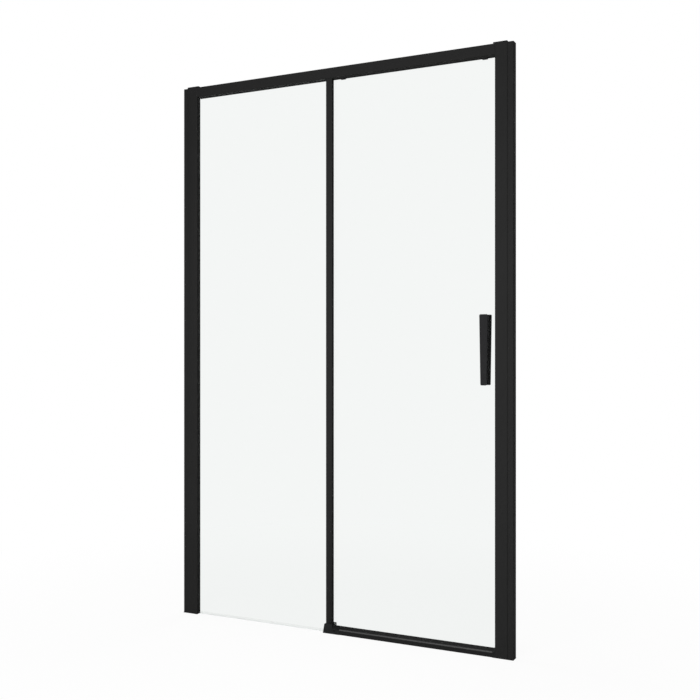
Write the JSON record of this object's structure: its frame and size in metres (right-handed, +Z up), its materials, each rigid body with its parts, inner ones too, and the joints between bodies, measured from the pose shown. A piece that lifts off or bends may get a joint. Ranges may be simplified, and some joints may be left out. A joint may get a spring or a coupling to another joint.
{
  "type": "sliding shower door",
  "caption": "Black-framed alcove shower door: a fixed glass pane, and a sliding glass pane hung on wheels in a top rail behind it.",
  "frame": {"origin": "middle of the door's width and depth, on the tray", "axes": "+X along the door from the left wall to the right wall, +Y into the shower, +Z up"},
  "size_m": [1.299, 0.0494, 2],
  "materials": {
    "black_powder_coat": "extruded aluminium with a fine matt black powder coat",
    "black_moulding": "moulded black nylon, matt",
    "handle_coat": "die-cast shell with a smooth satin black coat",
    "clear_glass": "clear toughened glass with polished edges",
    "clear_seal": "clear flexible vinyl extrusion",
    "dark_seal": "black flexible extrusion",
    "bonding_tape": "black foam tape",
    "ferrite": "magnetic strip",
    "stainless": "stainless steel, turned or folded",
    "black_steel": "steel with a black electro-coat, folded or turned",
    "brass_insert": "turned brass",
    "acetal": "natural acetal, moulded"
  },
  "bodies": {
    "frame": {"wall_profile_left": "black_powder_coat", "wall_profile_right": "black_powder_coat", "post_left": "black_powder_coat", "post_right": "black_powder_coat", "foot_pads": "black_moulding", "top_cap_left": "black_moulding", "top_cap_right": "black_moulding", "rail_bracket_left": "stainless", "rail_bracket_right": "stainless", "clamp_screws": "stainless", "clamp_covers": "black_moulding", "rail_screws": "stainless", "top_rail": "black_powder_coat", "fixed_pane": "clear_glass", "post_gasket": "dark_seal", "rail_gasket": "dark_seal", "bottom_strip": "clear_seal", "edge_bar": "black_powder_coat", "edge_bar_tape": "bonding_tape", "edge_bar_ears": "black_moulding", "edge_bar_seal": "dark_seal", "foot_block": "black_moulding", "foot_screw": "black_steel", "guide_liner": "acetal", "threshold": "black_powder_coat", "threshold_tape": "bonding_tape", "threshold_end_cap": "black_moulding", "strike_seal": "dark_seal", "strike_magnet": "ferrite", "door_stops": "black_moulding", "stop_buffers": "dark_seal", "stop_screws": "stainless"},
    "door": {"sliding_pane": "clear_glass", "leading_seal": "dark_seal", "leading_magnet": "ferrite", "trailing_seal": "dark_seal", "bottom_seal": "clear_seal", "outer_handle": "handle_coat", "inner_handle": "handle_coat", "handle_bolts": "stainless", "handle_inserts": "brass_insert", "handle_sleeves": "acetal", "handle_plugs": "black_moulding", "handle_pads": "dark_seal", "hanger_saddle_left": "black_steel", "hanger_saddle_right": "black_steel", "saddle_pads": "dark_seal", "eccentric_bushes": "acetal", "hanger_axles": "stainless", "bearing_inner_rings": "stainless", "retaining_rings": "stainless"},
    "left_front_wheel": {"wheel_left_front": "acetal", "bearing_left_front": "stainless"},
    "left_rear_wheel": {"wheel_left_rear": "acetal", "bearing_left_rear": "stainless"},
    "right_front_wheel": {"wheel_right_front": "acetal", "bearing_right_front": "stainless"},
    "right_rear_wheel": {"wheel_right_rear": "acetal", "bearing_right_rear": "stainless"}
  },
  "joints": [
    {"name": "door_slide", "type": "slide", "parent": "frame", "child": "door", "axis": [-1, 0, 0], "range_m": [0, 0.52]},
    {"name": "left_front_wheel_spin", "type": "hinge", "parent": "door", "child": "left_front_wheel", "pos_m": [0.0224, -0.00595, 1.97335], "axis": [0, -1, 0], "range_deg": [0, 2500]},
    {"name": "left_rear_wheel_spin", "type": "hinge", "parent": "door", "child": "left_rear_wheel", "pos_m": [0.0224, 0.00845, 1.97335], "axis": [0, -1, 0], "range_deg": [0, 2500]},
    {"name": "right_front_wheel_spin", "type": "hinge", "parent": "door", "child": "right_front_wheel", "pos_m": [0.5459, -0.00595, 1.97335], "axis": [0, -1, 0], "range_deg": [0, 2500]},
    {"name": "right_rear_wheel_spin", "type": "hinge", "parent": "door", "child": "right_rear_wheel", "pos_m": [0.5459, 0.00845, 1.97335], "axis": [0, -1, 0], "range_deg": [0, 2500]}
  ],
  "couplings": [
    {"joint": "left_front_wheel_spin", "follows": "door_slide", "rad_per_m": 83.333},
    {"joint": "left_rear_wheel_spin", "follows": "door_slide", "rad_per_m": 83.333},
    {"joint": "right_front_wheel_spin", "follows": "door_slide", "rad_per_m": 83.333},
    {"joint": "right_rear_wheel_spin", "follows": "door_slide", "rad_per_m": 83.333}
  ]
}
